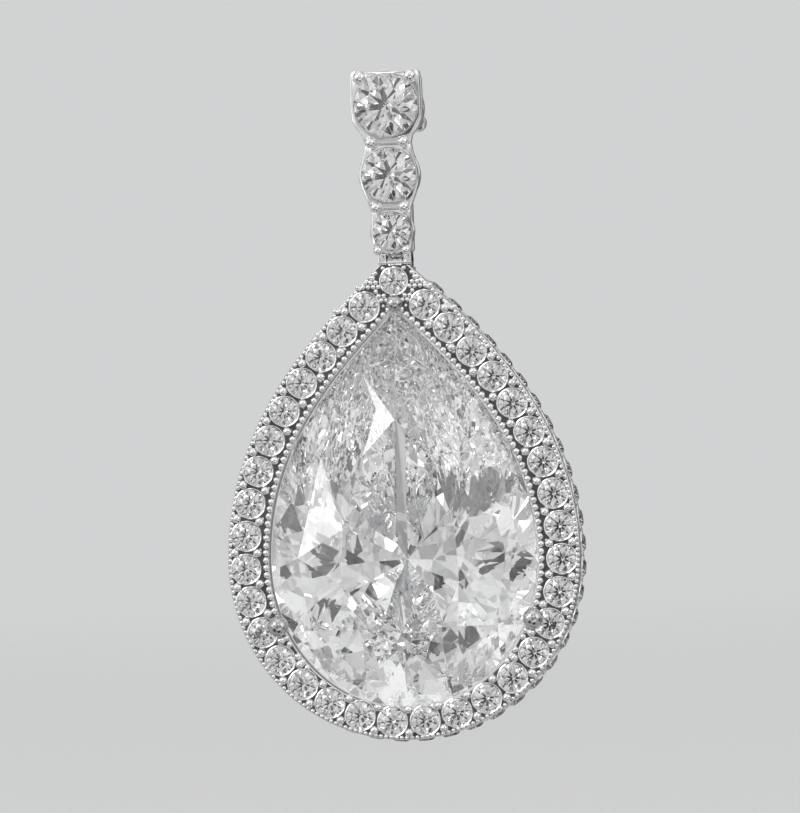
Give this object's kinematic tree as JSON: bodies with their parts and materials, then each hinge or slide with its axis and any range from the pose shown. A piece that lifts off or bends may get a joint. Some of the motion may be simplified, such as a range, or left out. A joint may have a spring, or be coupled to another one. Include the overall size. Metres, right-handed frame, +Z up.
{
  "type": "teardrop earring",
  "caption": "Drop earring: a claw-set stem of round stones over a pear-shaped stone that hangs in a halo of small round stones, with a straight post for a pierced ear.",
  "frame": {"origin": "on the ear post's axis, in the flat back of the stem that rests on the ear lobe", "axes": "+Z up as it hangs, -Y towards the viewer (the stones face -Y), +Y along the post away from the stones, +X to the viewer's right"},
  "size_m": [0.016, 0.0143, 0.0302],
  "materials": {
    "setting_metal": "polished",
    "post_metal": "polished",
    "main_stone": "polished",
    "small_stones": "polished",
    "side_stones": "polished"
  },
  "bodies": {
    "stem": {"ear_post": "post_metal", "stem_setting": "setting_metal", "hinge_pin": "setting_metal", "stem_stone_top": "small_stones", "stem_stone_middle": "small_stones", "stem_stone_bottom": "small_stones"},
    "drop": {"drop_setting": "setting_metal", "halo_stone_01": "small_stones", "halo_stone_02": "small_stones", "halo_stone_03": "small_stones", "halo_stone_04": "small_stones", "halo_stone_05": "small_stones", "halo_stone_06": "small_stones", "halo_stone_07": "small_stones", "halo_stone_08": "small_stones", "halo_stone_09": "small_stones", "halo_stone_10": "small_stones", "halo_stone_11": "small_stones", "halo_stone_12": "small_stones", "halo_stone_13": "small_stones", "halo_stone_14": "small_stones", "halo_stone_15": "small_stones", "halo_stone_16": "small_stones", "halo_stone_17": "small_stones", "halo_stone_18": "small_stones", "halo_stone_19": "small_stones", "halo_stone_20": "small_stones", "halo_stone_21": "small_stones", "halo_stone_22": "small_stones", "halo_stone_23": "small_stones", "halo_stone_24": "small_stones", "halo_stone_25": "small_stones", "halo_stone_26": "small_stones", "halo_stone_27": "small_stones", "halo_stone_28": "small_stones", "halo_stone_29": "small_stones", "halo_stone_30": "small_stones", "halo_stone_31": "small_stones", "halo_stone_32": "small_stones", "halo_stone_33": "small_stones", "halo_stone_34": "small_stones", "pear_stone": "main_stone", "point_stone": "small_stones", "side_band": "side_stones"}
  },
  "joints": [
    {"name": "drop_swing", "type": "hinge", "parent": "stem", "child": "drop", "pos_m": [0, -0.00102, -0.00702], "axis": [1, 0, 0], "range_deg": [-20, 30]}
  ]
}
